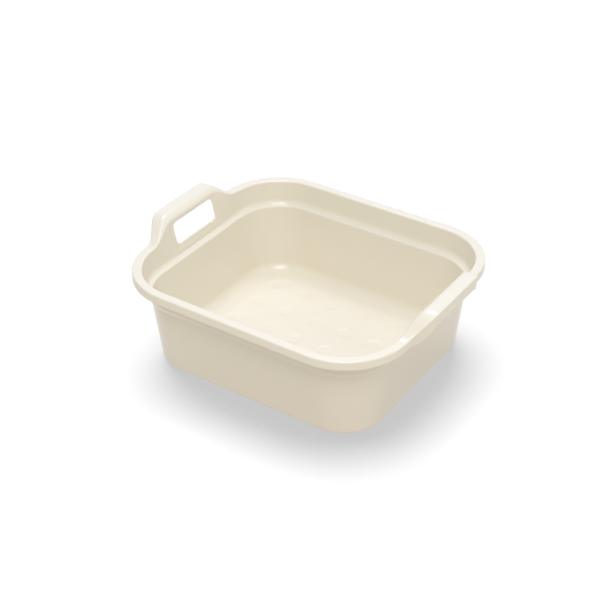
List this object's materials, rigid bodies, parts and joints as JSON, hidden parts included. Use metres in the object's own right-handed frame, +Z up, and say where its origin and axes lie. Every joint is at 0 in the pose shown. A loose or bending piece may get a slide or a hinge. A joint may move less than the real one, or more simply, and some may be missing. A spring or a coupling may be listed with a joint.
{
  "type": "washing up bowl",
  "caption": "Rectangular plastic washing up bowl with rounded corners, a turned-out rim, an inner ledge and raised hand grips at both ends.",
  "frame": {"origin": "middle of the bowl in plan, on the plane of its feet", "axes": "+X along the long side, towards one of the hand grips; +Y towards the back; +Z up"},
  "size_m": [0.405, 0.329, 0.1535],
  "materials": {
    "cream_polypropylene": "cream injection-moulded polypropylene with a satin sheen"
  },
  "bodies": {
    "root": {"base": "cream_polypropylene", "lower_wall": "cream_polypropylene", "upper_wall": "cream_polypropylene", "rim": "cream_polypropylene", "left_grip": "cream_polypropylene", "right_grip": "cream_polypropylene"}
  },
  "joints": []
}
